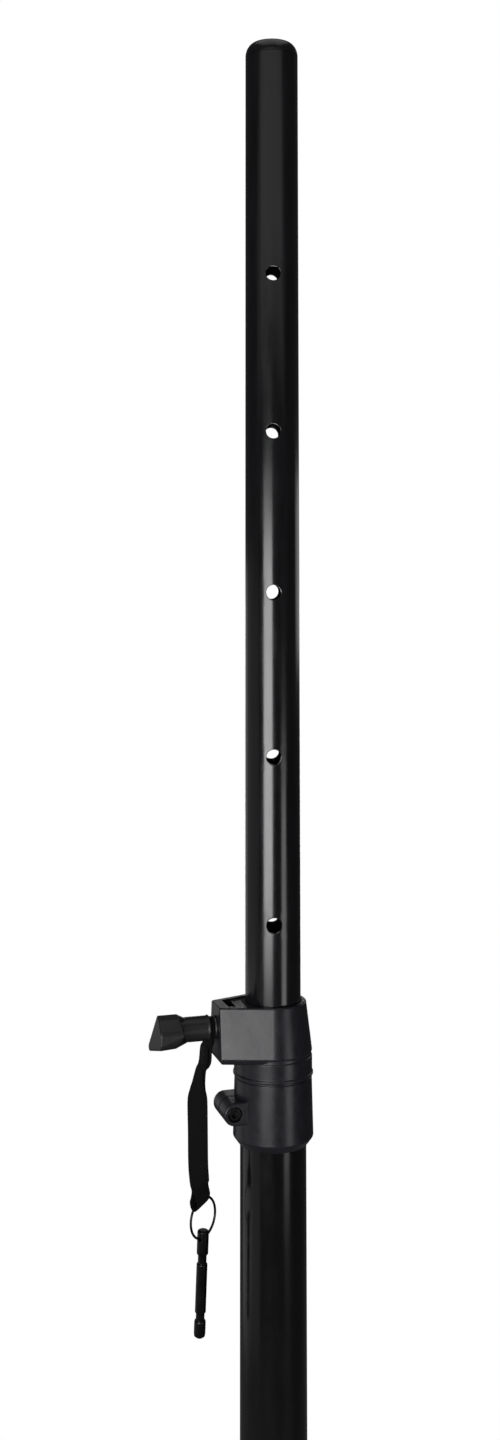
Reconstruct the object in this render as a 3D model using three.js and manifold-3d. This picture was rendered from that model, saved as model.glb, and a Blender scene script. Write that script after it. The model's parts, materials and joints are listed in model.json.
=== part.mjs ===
// Telescopic loudspeaker pole: a lower tube with a socket spigot, a clamping collar with a
// locking knob, a drilled mast that slides and turns in it, and a safety pin on a webbing strap.
// Millimetres, +Z up. The origin is the centre of the flat underside of the base plug.
import * as THREE from "three";
import { ConvexGeometry } from "three/addons/geometries/ConvexGeometry.js";
import { mergeVertices } from "three/addons/utils/BufferGeometryUtils.js";
import Module from "manifold-3d";

const wasm = await Module();
wasm.setup();

// General
const seatGap = 0.3;
const overrun = 1;
const roundSegments = 40;
const smallSegments = 20;
const wireSegments = 8;

// Base spigot and its plug
const spigotRadius = 17.5;
const spigotBoreRadius = 12;
const spigotLength = 70;
const spigotChamfer = 1.5;
const spigotFlangeThickness = 4;
const spigotInsertLength = 45;
const plugFlangeThickness = 3;
const plugInsertLength = 15;
const plugEdgeInset = 1;
const spigotPinRadius = 2.5;
const spigotPinCount = 2;
const spigotPinPitch = 22;
const spigotPinFirst = 12;

// Lower tube
const lowerTubeRadius = 20.65;
const lowerTubeWall = 1.65;
const lowerTubeLength = 716;

// Mast
const mastRadius = 17.5;
const mastWall = 2;
const mastShown = 619.7;
const mastInserted = 125;
const holeRadius = 4.75;
const holeCount = 5;
const holePitch = 103;
const firstHoleDrop = 159;

// Mast cap
const capRise = 9.3;
const capEdgeRun = 7;
const capEdgeSteps = 6;
const capSkirt = 22;
const capWall = 2.5;

// Mast foot, its cross pin and the guide bush that turns on it
const footPlugLength = 30;
const footNeckRadius = 14.2;
const footFlangeThickness = 4;
const footBore = 9;
const footPinRadius = 2.4;
const bushLength = 24;
const runningGap = 0.35;

// Liner between the lower tube and the mast
const linerLength = 60;
const linerRunningGap = 0.3;
const linerFlangeThickness = 2;
const linerFlangeReach = 1.5;

// Collar housing, downwards from its top face
const collarTopRadius = 20.9;
const collarRadius = 24.5;
const collarTopChamfer = 0.8;
const coneDrop = 29.5;
const beadDrop = 42;
const beadHeight = 2;
const beadProud = 0.6;
const grooveHeight = 1.2;
const grooveDepth = 0.5;
const sleeveRadius = 24.3;
const lipRadius = 25.1;
const lipDrop = 80;
const collarHeight = 85.3;
const lipMouthWall = 0.6;
const tubeTopDrop = 40;
const mastClearance = 0.6;

// Boss of the collar, along the knob's axis
const bossAngle = 14;
const bossReach = 37.5;
const bossHalfWidth = 10.3;
const bossCornerRadius = 1.2;
const bossHeight = 32.7;
const bossEdge = 1.2;
const bossEndWall = 6;
const bossSideWall = 4.2;
const pocketDepth = 28.5;
const knobAxisDrop = 13.8;

// Pressure shoe in the boss's pocket
const shoeReach = 26;
const shoeTravel = 2.5;
const shoePadThickness = 2;
const shoeTopDrop = 0.6;

// Locking stud, captive nut and washer
const studRadius = 3.9;
const studHoleGap = 0.4;
const studTipRadius = 2.4;
const studTipLength = 3.5;
const studTipRelief = 1.5;
const nutAcrossFlats = 13;
const nutThickness = 3.7;
const washerRadius = 7;
const washerThickness = 1.2;

// Locking knob
const knobStart = 42;
const knobEnd = 76;
const stemRadius = 7.4;
const knobEndCap = 11.7;
const knobHubRadius = 8;
const knobHubSetBack = 3;
const knobHubBack = 12;
const knobEdge = 0.8;
// Each lobe: centre across the axis, radius, how far back from the end face it runs, and the
// share of its reach that is left there.
const knobLobes = [
  { centre: [5.6, 9.7], radius: 1.6, back: 12, share: 1 },
  { centre: [9.6, 8], radius: 1.5, back: 12.4, share: 1 },
  { centre: [12.3, 1], radius: 4.4, back: 14, share: 0.97 },
  { centre: [13, -3.6], radius: 3.8, back: 10, share: 0.92 },
  { centre: [-15.6, -13], radius: 2.5, back: 11, share: 0.95 },
];
// Each rib runs from the back of a lobe down to the stem: its foot there, and how far back it ends.
const knobRibRadius = 2.4;
const knobRibs = [
  { lobe: 0, foot: [1, 5], back: 18.6 },
  { lobe: 3, foot: [1.5, -5], back: 19.6 },
  { lobe: 4, foot: [-3, -4.6], back: 23.4 },
];

// Clamp ear of the sleeve, its screw and nut
const earReach = 28.4;
const earDrop = 62.8;
const earRadius = 6.8;
const earLength = 27;
const slitWidth = 2;
const slitTopDrop = 48;
const clampScrewRadius = 2.4;
const clampHoleRadius = 2.75;
const clampHeadRadius = 4.2;
const clampHeadLength = 5;
const clampHeadSetBack = 0.8;
const clampSocketAcross = 4;
const clampSocketDepth = 2.6;
const clampNutAcross = 8;
const clampNutThickness = 4;
const clampNutSetBack = 0.6;

// Webbing strap, from the stud's axis down
const strapWidth = 12.3;
const strapThickness = 2.4;
const strapDrop = 101.3;
const strapCorner = 0.5;
const eyeRadius = 3.2;
const eyeWall = 1;
const eyeHeight = 3;
const strapEndSlope = 15;
const strapEndReach = 47;
const strapHoleGap = 0.4;
// Each station: drop as a share of strapDrop, outward shift as a share of the whole shift,
// width and thickness as shares of the webbing's, turn of the width in degrees, slope share.
const strapStationShares = [
  { drop: -0.063, shift: 0, width: 0.36, thick: 1, turn: 90, slope: 0 },
  { drop: -0.044, shift: 0, width: 0.78, thick: 1, turn: 90, slope: 0 },
  { drop: -0.015, shift: 0, width: 1, thick: 1, turn: 90, slope: 0 },
  { drop: 0.049, shift: 0, width: 0.96, thick: 1, turn: 90, slope: 0 },
  { drop: 0.071, shift: 0.009, width: 0.95, thick: 1, turn: 90, slope: 0 },
  { drop: 0.099, shift: 0.31, width: 0.95, thick: 1, turn: 91, slope: 0 },
  { drop: 0.123, shift: 0.469, width: 1, thick: 1, turn: 93, slope: 0 },
  { drop: 0.197, shift: 0.526, width: 0.97, thick: 1, turn: 96, slope: 0 },
  { drop: 0.219, shift: 0.694, width: 0.75, thick: 1.2, turn: 99, slope: 0 },
  { drop: 0.242, shift: 0.938, width: 0.57, thick: 1.3, turn: 104, slope: 0 },
  { drop: 0.306, shift: 1.136, width: 0.64, thick: 1.3, turn: 124, slope: 0 },
  { drop: 0.36, shift: 1.258, width: 0.82, thick: 1.1, turn: 144, slope: 0 },
  { drop: 0.424, shift: 1.276, width: 1, thick: 1, turn: 160, slope: 0 },
  { drop: 0.592, shift: 1.229, width: 1, thick: 1, turn: 163, slope: 0 },
  { drop: 0.789, shift: 1.182, width: 1, thick: 1, turn: 167, slope: 0 },
  { drop: 0.888, shift: 1.06, width: 1, thick: 1.1, turn: 180, slope: 0.5 },
];

// Key ring and safety pin
const ringRadius = 11.8;
const ringWireRadius = 0.6;
const ringTurn = 36.5;
const ringSegments = 48;
const pinHeadRadius = 3.55;
const pinBodyRadius = 3.35;
const pinGrooveRadius = 2.65;
const pinTopHead = 14.4;
const pinTopGroove = 5.2;
const pinGroove = 4.5;
const pinBody = 28.8;
const pinEndHead = 10.3;
const pinEdge = 0.8;
const pinHoleRadius = 1.3;
const pinHoleDrop = 4.7;
const pinLean = 2.5;

// Places that follow from the sizes
const flangeBottom = spigotLength;
const lowerTubeBottom = flangeBottom + spigotFlangeThickness + seatGap;
const lowerTubeTop = lowerTubeBottom + lowerTubeLength;
const collarTop = lowerTubeTop + tubeTopDrop;
const collarBottom = collarTop - collarHeight;
const poleTop = collarTop + mastShown;
const mastTop = poleTop - capRise - seatGap;
const mastBottom = collarTop - mastInserted;
const lowerTubeBore = lowerTubeRadius - lowerTubeWall;
const mastBore = mastRadius - mastWall;
const knobAxisHeight = collarTop - knobAxisDrop;
const mastBoreInCollar = mastRadius + mastClearance;
const tubeBoreInCollar = lowerTubeRadius + seatGap;
const earAxisHeight = collarTop - earDrop;
const strapFirstReach = bossReach + seatGap + washerThickness + seatGap + strapThickness / 2;

// Finishes
const finish = {
  powderCoat: { color: 0x17171a, roughness: 0.42, metalness: 0.35 },
  mastCoat: { color: 0x141416, roughness: 0.32, metalness: 0.4 },
  housing: { color: 0x4b4b50, roughness: 0.5, metalness: 0 },
  knob: { color: 0x262628, roughness: 0.55, metalness: 0 },
  nylon: { color: 0x1c1c1e, roughness: 0.6, metalness: 0 },
  steel: { color: 0x8d8f92, roughness: 0.35, metalness: 1 },
  blackSteel: { color: 0x18181a, roughness: 0.4, metalness: 0.9 },
  webbing: { color: 0x1b1b1c, roughness: 0.9, metalness: 0 },
  spigot: { color: 0x2a2a2d, roughness: 0.4, metalness: 0.7 },
};

const radians = THREE.MathUtils.degToRad;

// A closed geometry as a solid, with its shared vertices merged and its faces pointing out.
function solid(geometry) {
  const bare = new THREE.BufferGeometry().setAttribute("position", geometry.getAttribute("position"));
  if (geometry.index) bare.setIndex(geometry.index);
  const merged = mergeVertices(bare, 1e-4);
  const corners = Array.from(merged.index.array);
  const kept = [];
  for (let i = 0; i < corners.length; i += 3) {
    const [a, b, c] = corners.slice(i, i + 3);
    if (a !== b && b !== c && c !== a) kept.push(a, b, c);
  }
  const positions = merged.getAttribute("position").array;
  if (signedVolume(positions, kept) < 0) {
    for (let i = 0; i < kept.length; i += 3) {
      [kept[i + 1], kept[i + 2]] = [kept[i + 2], kept[i + 1]];
    }
  }
  return new wasm.Manifold(
    new wasm.Mesh({
      numProp: 3,
      vertProperties: new Float32Array(positions),
      triVerts: new Uint32Array(kept),
    }),
  );
}

function signedVolume(positions, corners) {
  const a = new THREE.Vector3();
  const b = new THREE.Vector3();
  const c = new THREE.Vector3();
  let sum = 0;
  for (let i = 0; i < corners.length; i += 3) {
    a.fromArray(positions, 3 * corners[i]);
    b.fromArray(positions, 3 * corners[i + 1]);
    c.fromArray(positions, 3 * corners[i + 2]);
    sum += a.dot(b.cross(c)) / 6;
  }
  return sum;
}

function join(first, ...others) {
  return others.reduce((sum, piece) => sum.add(piece), first);
}

function cut(first, ...tools) {
  return tools.reduce((rest, tool) => rest.subtract(tool), first);
}

// A solid as a drawable geometry with flat faces.
function geometryOf(piece) {
  const mesh = piece.getMesh();
  const positions = new Float32Array(mesh.numVert * 3);
  for (let i = 0; i < mesh.numVert; i += 1) {
    positions.set(mesh.vertProperties.subarray(i * mesh.numProp, i * mesh.numProp + 3), i * 3);
  }
  const indexed = new THREE.BufferGeometry()
    .setAttribute("position", new THREE.BufferAttribute(positions, 3))
    .setIndex(new THREE.BufferAttribute(new Uint32Array(mesh.triVerts), 1));
  const flat = indexed.toNonIndexed();
  flat.computeVertexNormals();
  return flat;
}

// A ring or disc about +Z from a closed list of [radius, height].
function turned(profile, segments = roundSegments) {
  const points = profile.map(([radius, height]) => new THREE.Vector2(radius, height));
  if (profile[0][0] !== 0 || profile.at(-1)[0] !== 0) points.push(points[0].clone());
  return solid(new THREE.LatheGeometry(points, segments).rotateX(Math.PI / 2));
}

function tube(outer, inner, low, high, segments = roundSegments) {
  return turned([[inner, low], [outer, low], [outer, high], [inner, high]], segments);
}

function rod(radius, low, high, segments = roundSegments) {
  return turned([[0, low], [radius, low], [radius, high], [0, high]], segments);
}

// A solid made about +Z, laid along +X or along +Y.
function alongX(piece) {
  return piece.rotate([0, 90, 0]);
}

function alongY(piece) {
  return piece.rotate([-90, 0, 0]);
}

// A six-sided prism about +Z with the given width across its flats.
function hexPrism(across, low, high) {
  return rod(across / 2 / Math.cos(Math.PI / 6), low, high, 6);
}

function block(low, high) {
  const size = high.map((value, i) => value - low[i]);
  const box = new THREE.BoxGeometry(...size);
  box.translate(...low.map((value, i) => value + size[i] / 2));
  return solid(box);
}

// A flat outline of [x, y] carried straight up from low to high.
function raised(outline, low, high) {
  const shape = new THREE.Shape(outline.map(([x, y]) => new THREE.Vector2(x, y)));
  const geometry = new THREE.ExtrudeGeometry(shape, { depth: high - low, bevelEnabled: false });
  return solid(geometry.translate(0, 0, low));
}

function named(name, piece, look) {
  const mesh = new THREE.Mesh(geometryOf(piece), new THREE.MeshStandardMaterial(look));
  mesh.name = name;
  return mesh;
}

// Base: a plugged spigot that drops into a 35 mm socket, pinned into the lower tube.
function basePlug() {
  const rim = spigotRadius - plugEdgeInset;
  return turned([
    [0, 0],
    [rim - plugEdgeInset, 0],
    [rim, plugEdgeInset],
    [rim, plugFlangeThickness],
    [spigotBoreRadius - seatGap, plugFlangeThickness],
    [spigotBoreRadius - seatGap, plugFlangeThickness + plugInsertLength],
    [0, plugFlangeThickness + plugInsertLength],
  ]);
}

function spigotPinHeights() {
  const first = flangeBottom + spigotFlangeThickness + spigotPinFirst;
  return Array.from({ length: spigotPinCount }, (_, i) => first + i * spigotPinPitch);
}

function spigotPinHole(height) {
  const reach = lowerTubeRadius + overrun;
  return alongX(rod(spigotPinRadius + seatGap, -reach, reach, smallSegments)).translate([0, 0, height]);
}

function baseSpigot() {
  const low = plugFlangeThickness + seatGap;
  const flangeTop = flangeBottom + spigotFlangeThickness;
  const insertRadius = lowerTubeBore - seatGap;
  const body = turned([
    [spigotBoreRadius, low],
    [spigotRadius - spigotChamfer, low],
    [spigotRadius, low + spigotChamfer],
    [spigotRadius, flangeBottom],
    [lowerTubeRadius, flangeBottom],
    [lowerTubeRadius, flangeTop],
    [insertRadius, flangeTop],
    [insertRadius, flangeTop + spigotInsertLength],
    [spigotBoreRadius, flangeTop + spigotInsertLength],
  ]);
  return cut(body, ...spigotPinHeights().map(spigotPinHole));
}

function spigotPin(height) {
  const reach = lowerTubeRadius - seatGap;
  return alongX(rod(spigotPinRadius, -reach, reach, smallSegments)).translate([0, 0, height]);
}

function lowerTube() {
  const body = tube(lowerTubeRadius, lowerTubeBore, lowerTubeBottom, lowerTubeTop);
  return cut(body, ...spigotPinHeights().map(spigotPinHole));
}

// Mast: a drilled tube with a rounded cap and a foot that carries the guide bush.
function footPinHeight() {
  return mastBottom + footPlugLength / 2;
}

function footPinHole() {
  const reach = mastRadius + overrun;
  const hole = alongX(rod(footPinRadius + seatGap, -reach, reach, smallSegments));
  return hole.translate([0, 0, footPinHeight()]);
}

function mastTube() {
  const reach = mastRadius + overrun;
  const holes = Array.from({ length: holeCount }, (_, i) => {
    const height = poleTop - firstHoleDrop - i * holePitch;
    return alongY(rod(holeRadius, -reach, reach, smallSegments)).translate([0, 0, height]);
  });
  return cut(tube(mastRadius, mastBore, mastBottom, mastTop), ...holes, footPinHole());
}

function topCap() {
  const low = poleTop - capRise;
  const edge = Array.from({ length: capEdgeSteps + 1 }, (_, i) => {
    const angle = (i / capEdgeSteps) * (Math.PI / 2);
    const radius = mastRadius - capEdgeRun * (1 - Math.cos(angle));
    return [radius, low + capRise * Math.sin(angle)];
  });
  const skirtRadius = mastBore - seatGap;
  return turned([
    [0, low],
    [skirtRadius - capWall, low],
    [skirtRadius - capWall, low - capSkirt],
    [skirtRadius, low - capSkirt],
    [skirtRadius, low],
    ...edge,
    [0, poleTop],
  ]);
}

function mastFoot() {
  const plugTop = mastBottom + footPlugLength;
  const neckBottom = mastBottom - bushLength - 2 * seatGap;
  const flangeRadius = lowerTubeBore - 2 * runningGap;
  const body = turned([
    [footBore, neckBottom - footFlangeThickness],
    [flangeRadius, neckBottom - footFlangeThickness],
    [flangeRadius, neckBottom],
    [footNeckRadius, neckBottom],
    [footNeckRadius, mastBottom],
    [mastBore - seatGap, mastBottom],
    [mastBore - seatGap, plugTop],
    [footBore, plugTop],
  ]);
  return cut(body, footPinHole());
}

function footPin() {
  const reach = mastRadius - seatGap;
  return alongX(rod(footPinRadius, -reach, reach, smallSegments)).translate([0, 0, footPinHeight()]);
}

function guideBush() {
  const top = mastBottom - seatGap;
  return tube(lowerTubeBore - runningGap, footNeckRadius + runningGap, top - bushLength, top);
}

function tubeLiner() {
  const inner = mastRadius + linerRunningGap;
  const outer = lowerTubeBore - seatGap;
  const flangeLow = lowerTubeTop + seatGap;
  return turned([
    [inner, lowerTubeTop - linerLength],
    [outer, lowerTubeTop - linerLength],
    [outer, flangeLow],
    [outer + linerFlangeReach, flangeLow],
    [outer + linerFlangeReach, flangeLow + linerFlangeThickness],
    [inner, flangeLow + linerFlangeThickness],
  ]);
}

// Collar. The pieces along the knob's axis are made with +X outwards along it.
function tangentPoint() {
  const distance = Math.hypot(bossReach, bossHalfWidth);
  const angle = Math.atan2(bossHalfWidth, bossReach) + Math.acos(collarTopRadius / distance);
  return [collarTopRadius * Math.cos(angle), collarTopRadius * Math.sin(angle)];
}

// The boss's top seen from above, drawn in by the insets: two flats tangent to the collar's
// top rim, with rounded end corners. The pocket and the shoe are cut to it.
function bossOutline(sideInset, endInset, cornerRadius) {
  const [tangentX, tangentY] = tangentPoint();
  const run = bossReach - tangentX;
  const fall = tangentY - bossHalfWidth;
  const slope = fall / run;
  const offset = sideInset * Math.hypot(1, slope);
  const end = bossReach - endInset;
  const halfAt = (x) => tangentY - slope * (x - tangentX) - offset;
  const arcSteps = 4;
  const corner = Array.from({ length: arcSteps + 1 }, (_, i) => {
    const from = Math.PI / 2 - Math.atan(slope);
    const angle = from * (1 - i / arcSteps);
    const centreX = end - cornerRadius;
    const centreY = halfAt(end) - cornerRadius * Math.tan((Math.PI / 2 - Math.atan(slope)) / 2);
    return [centreX + cornerRadius * Math.cos(angle), centreY + cornerRadius * Math.sin(angle)];
  });
  const near = [[tangentX, halfAt(tangentX)], ...corner];
  const far = near.map(([x, y]) => [x, -y]).reverse();
  return [[0, halfAt(tangentX)], ...near, ...far, [0, -halfAt(tangentX)]];
}

// Turn of the flats' outward normal from the boss's direction, at which a flat touches both the
// top rim and the boss's corner.
function flatTurn() {
  const x = bossReach - bossCornerRadius;
  const y = bossHalfWidth - bossCornerRadius;
  return Math.atan2(y, x) + Math.acos((collarTopRadius - bossCornerRadius) / Math.hypot(x, y));
}

// How far off the middle the boss's corners are centred where the round body has the radius.
function cornerOffset(radius) {
  const turn = flatTurn();
  const x = bossReach - bossCornerRadius;
  return (radius - bossCornerRadius - x * Math.cos(turn)) / Math.sin(turn);
}

// The cone and the boss as one convex form. The flats lean out with the cone and touch it along
// one straight line each.
function collarHead() {
  const low = collarTop - bossHeight;
  const levels = [
    { radius: collarTopRadius - collarTopChamfer, inset: collarTopChamfer, height: collarTop },
    { radius: collarTopRadius, inset: 0, height: collarTop - collarTopChamfer },
    { radius: collarRadius, inset: 0, height: collarTop - coneDrop },
    { radius: collarRadius - bossEdge, inset: bossEdge, height: low },
  ];
  return solid(new ConvexGeometry(levels.flatMap(({ radius, inset, height }) => {
    const x = bossReach - bossCornerRadius - inset;
    const y = cornerOffset(radius);
    return [
      ...levelCircle([0, 0], radius, height, roundSegments),
      ...levelCircle([x, y], bossCornerRadius, height, smallSegments),
      ...levelCircle([x, -y], bossCornerRadius, height, smallSegments),
    ];
  })));
}

function levelCircle(centre, radius, height, count) {
  return Array.from({ length: count }, (_, i) => {
    const angle = (i / count) * 2 * Math.PI;
    return new THREE.Vector3(centre[0] + radius * Math.cos(angle), centre[1] + radius * Math.sin(angle), height);
  });
}

function collarSleeve() {
  const top = collarTop;
  const neckRadius = collarRadius - seatGap;
  const beadTop = top - beadDrop;
  const beadBottom = beadTop - beadHeight;
  const grooveBottom = beadBottom - grooveHeight;
  return turned([
    [mastBoreInCollar, top - coneDrop],
    [neckRadius, top - coneDrop],
    [collarRadius, top - bossHeight],
    [collarRadius, beadTop],
    [collarRadius + beadProud, beadTop - beadHeight / 3],
    [collarRadius + beadProud, beadBottom + beadHeight / 3],
    [sleeveRadius - grooveDepth, beadBottom],
    [sleeveRadius - grooveDepth, grooveBottom],
    [sleeveRadius, grooveBottom],
    [lipRadius, top - lipDrop],
    [tubeBoreInCollar + lipMouthWall, collarBottom],
    [tubeBoreInCollar, collarBottom],
    [tubeBoreInCollar, collarShoulder()],
    [mastBoreInCollar, collarShoulder()],
  ]);
}

function collarShoulder() {
  return lowerTubeTop + seatGap + linerFlangeThickness + seatGap;
}

function collarHousing() {
  return cut(
    join(collarHead(), collarSleeve(), clampEar()),
    rod(mastBoreInCollar, collarShoulder() - overrun, collarTop + overrun),
    rod(tubeBoreInCollar, collarBottom - overrun, collarShoulder()),
    raised(bossOutline(bossSideWall, bossEndWall, overrun), collarTop - pocketDepth, collarTop + overrun),
    clampSlit(),
    clampHoles(),
    studHole(),
  );
}

function clampEar() {
  const barrel = alongY(rod(earRadius, -earLength / 2, earLength / 2, roundSegments));
  const web = block([0, -earLength / 2, -earRadius], [earReach, earLength / 2, earRadius]);
  return join(barrel.translate([earReach, 0, 0]), web).translate([0, 0, earAxisHeight]);
}

function clampSlit() {
  const outer = earReach + earRadius + overrun;
  return block([0, -slitWidth / 2, collarBottom - overrun], [outer, slitWidth / 2, collarTop - slitTopDrop]);
}

function clampHoles() {
  const half = earLength / 2;
  const headDepth = clampHeadLength + clampHeadSetBack + seatGap;
  const nutDepth = clampNutThickness + clampNutSetBack + seatGap;
  const shank = rod(clampHoleRadius, -half - overrun, half + overrun, smallSegments);
  const headRecess = rod(clampHeadRadius + seatGap, half - headDepth, half + overrun, smallSegments);
  const nutRecess = hexPrism(clampNutAcross + 2 * seatGap, -half - overrun, -half + nutDepth);
  const along = alongY(join(shank, headRecess, nutRecess));
  return along.translate([earReach, 0, earAxisHeight]);
}

// Axis of the stud, laid along +X at the knob's height.
function onKnobAxis(piece) {
  return alongX(piece).translate([0, 0, knobAxisHeight]);
}

function nutRecessStart() {
  return bossReach - bossEndWall;
}

function studHole() {
  const start = nutRecessStart();
  const hole = rod(studRadius + studHoleGap, start - overrun, bossReach + overrun, smallSegments);
  const recess = hexPrism(nutAcrossFlats + 2 * seatGap, start - overrun, start + nutThickness + 2 * seatGap);
  return onKnobAxis(join(hole, recess));
}

function captiveNut() {
  const start = nutRecessStart() + seatGap;
  const hex = hexPrism(nutAcrossFlats, start, start + nutThickness);
  const bore = rod(studRadius + seatGap, start - overrun, start + nutThickness + overrun, smallSegments);
  return onKnobAxis(cut(hex, bore));
}

function knobWasher() {
  const start = bossReach + seatGap;
  return onKnobAxis(tube(washerRadius, studRadius + seatGap, start, start + washerThickness, smallSegments));
}

function clampScrew() {
  const half = earLength / 2;
  const headOuter = half - clampHeadSetBack;
  const headInner = headOuter - clampHeadLength;
  const body = turned([
    [0, -half + clampNutSetBack],
    [clampScrewRadius, -half + clampNutSetBack],
    [clampScrewRadius, headInner],
    [clampHeadRadius, headInner],
    [clampHeadRadius, headOuter],
    [0, headOuter],
  ], smallSegments);
  const socket = hexPrism(clampSocketAcross, headOuter - clampSocketDepth, headOuter + overrun);
  return alongY(cut(body, socket)).translate([earReach, 0, earAxisHeight]);
}

function clampNut() {
  const outer = -earLength / 2 + clampNutSetBack;
  const hex = hexPrism(clampNutAcross, outer, outer + clampNutThickness);
  const bore = rod(clampScrewRadius + seatGap, outer - overrun, outer + clampNutThickness + overrun, smallSegments);
  return alongY(cut(hex, bore)).translate([earReach, 0, earAxisHeight]);
}

// The shoe slides outwards in the tapering pocket, so its sides leave room for its travel.
function shoeBlank(low, high) {
  const [tangentX, tangentY] = tangentPoint();
  const slope = (tangentY - bossHalfWidth) / (bossReach - tangentX);
  const sideRoom = bossSideWall + seatGap + (shoeTravel * slope) / Math.hypot(1, slope);
  const blank = raised(bossOutline(sideRoom, bossReach - shoeReach, overrun), low, high);
  return blank;
}

function pressureShoe() {
  const low = collarTop - pocketDepth + seatGap;
  const high = collarTop - shoeTopDrop;
  const face = mastRadius + seatGap + shoePadThickness + seatGap;
  const tip = rod(studTipRadius + seatGap, shoeReach - studTipLength - seatGap, shoeReach + overrun, smallSegments);
  return cut(shoeBlank(low, high), rod(face, low - overrun, high + overrun), onKnobAxis(tip));
}

function shoePad() {
  const low = collarTop - pocketDepth + seatGap;
  const high = collarTop - shoeTopDrop;
  const inner = mastRadius + seatGap;
  const ring = tube(inner + shoePadThickness, inner, low, high);
  return ring.intersect(shoeBlank(low - overrun, high + overrun));
}

function lockStud() {
  const tipStart = shoeReach - studTipLength;
  const shoulder = shoeReach + studTipRelief;
  return onKnobAxis(turned([
    [0, tipStart],
    [studTipRadius, tipStart],
    [studTipRadius, shoulder],
    [studRadius, shoulder],
    [studRadius, knobEnd - knobEndCap - seatGap],
    [0, knobEnd - knobEndCap - seatGap],
  ], smallSegments));
}

// Points of a circle at one place along the knob's axis, in its own +X outwards frame.
function circlePoints(along, centre, radius, count = 16) {
  return Array.from({ length: count }, (_, i) => {
    const angle = (i / count) * 2 * Math.PI;
    return new THREE.Vector3(along, centre[0] + radius * Math.cos(angle), centre[1] + radius * Math.sin(angle));
  });
}

// Points of a lobe's circle at a distance back from the end face.
function lobePoints({ centre, radius }, back, share, inset) {
  return circlePoints(knobEnd - back, centre.map((value) => value * share), radius - inset);
}

// A three-cornered grip round a hub, with ribs that run down to a round stem.
function lockKnob() {
  const grip = solid(new ConvexGeometry([
    ...knobLobes.flatMap((lobe) => [
      ...lobePoints(lobe, 0, 1, knobEdge),
      ...lobePoints(lobe, knobEdge, 1, 0),
      ...lobePoints(lobe, lobe.back, lobe.share, 0),
    ]),
    ...circlePoints(knobEnd - knobHubSetBack, [0, 0], knobHubRadius),
    ...circlePoints(knobEnd - knobHubBack, [0, 0], knobHubRadius),
  ]));
  const ribs = knobRibs.map(({ lobe, foot, back }) => solid(new ConvexGeometry([
    ...lobePoints(knobLobes[lobe], knobLobes[lobe].back, knobLobes[lobe].share, 0),
    ...circlePoints(knobEnd - back, foot, knobRibRadius),
  ])));
  const stem = alongX(rod(stemRadius, knobStart, knobEnd - knobHubBack + seatGap, roundSegments));
  const bore = alongX(rod(studRadius + seatGap, knobStart - overrun, knobEnd - knobEndCap, smallSegments));
  return cut(join(grip, stem, ...ribs), bore).translate([0, 0, knobAxisHeight]);
}

// One level section of the strap: a flat rectangle with cut corners.
function strapSection({ centre, width, thick, turn, slope }) {
  const along = [Math.cos(radians(turn)), Math.sin(radians(turn))];
  const across = [-along[1], along[0]];
  const w = width / 2;
  const t = thick / 2;
  const c = strapCorner;
  const ring = [
    [w, -t + c], [w, t - c], [w - c, t], [-w + c, t],
    [-w, t - c], [-w, -t + c], [-w + c, -t], [w - c, -t],
  ];
  return ring.map(([p, q]) => new THREE.Vector3(
    centre.x + along[0] * p + across[0] * q,
    centre.y + along[1] * p + across[1] * q,
    centre.z + Math.tan(slope) * p,
  ));
}

// A closed skin over a row of sections with equal numbers of points.
function skinned(sections) {
  const count = sections[0].length;
  const points = sections.flat();
  const faces = [];
  for (let row = 0; row < sections.length - 1; row += 1) {
    for (let i = 0; i < count; i += 1) {
      const next = (i + 1) % count;
      const a = row * count + i;
      const b = row * count + next;
      faces.push(a, b, b + count, a, b + count, a + count);
    }
  }
  const last = (sections.length - 1) * count;
  for (let i = 1; i < count - 1; i += 1) {
    faces.push(0, i + 1, i, last, last + i, last + i + 1);
  }
  const positions = new Float32Array(points.flatMap((point) => point.toArray()));
  const geometry = new THREE.BufferGeometry()
    .setAttribute("position", new THREE.BufferAttribute(positions, 3))
    .setIndex(faces);
  return solid(geometry);
}

function strapEndTurn() {
  return ringTurn + 180;
}

function eyeCentre() {
  return new THREE.Vector3(strapEndReach, 0, knobAxisHeight - strapDrop);
}

function strapStations() {
  const whole = strapEndReach - strapFirstReach;
  const stations = strapStationShares.map((share) => ({
    centre: new THREE.Vector3(
      strapFirstReach + share.shift * whole,
      0,
      knobAxisHeight - share.drop * strapDrop,
    ),
    width: share.width * strapWidth,
    thick: share.thick * strapThickness,
    turn: share.turn,
    slope: share.slope * radians(strapEndSlope),
  }));
  const eye = eyeCentre();
  const outer = eyeRadius + eyeWall;
  const ends = [
    { rise: outer + eyeHeight + eyeWall, thick: strapThickness },
    { rise: eyeHeight + eyeRadius / 2, thick: 2 * outer - eyeWall },
    { rise: eyeHeight / 2, thick: 2 * outer },
    { rise: -outer / 2, thick: 2 * outer - eyeWall },
    { rise: -outer, thick: outer },
  ];
  return [
    ...stations,
    ...ends.map(({ rise, thick }) => ({
      centre: new THREE.Vector3(eye.x, 0, eye.z + rise),
      width: strapWidth,
      thick,
      turn: strapEndTurn(),
      slope: radians(strapEndSlope),
    })),
  ];
}

// The direction of the ring's wire where it passes through the strap's eye.
function eyeDirection() {
  const slope = radians(strapEndSlope);
  const turn = radians(strapEndTurn());
  return new THREE.Vector3(
    Math.cos(turn) * Math.cos(slope),
    Math.sin(turn) * Math.cos(slope),
    Math.sin(slope),
  );
}

// The open space inside the strap's end loop.
function eyeSpace() {
  const reach = strapWidth;
  const low = rod(eyeRadius, -reach, reach, smallSegments);
  const high = low.translate([-eyeHeight, 0, 0]);
  const between = block([-eyeHeight, -eyeRadius, -reach], [0, eyeRadius, reach]);
  const slope = strapEndSlope;
  const laid = alongX(join(low, high, between)).rotate([0, -slope, 0]);
  return laid.rotate([0, 0, strapEndTurn()]).translate(eyeCentre().toArray());
}

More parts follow.
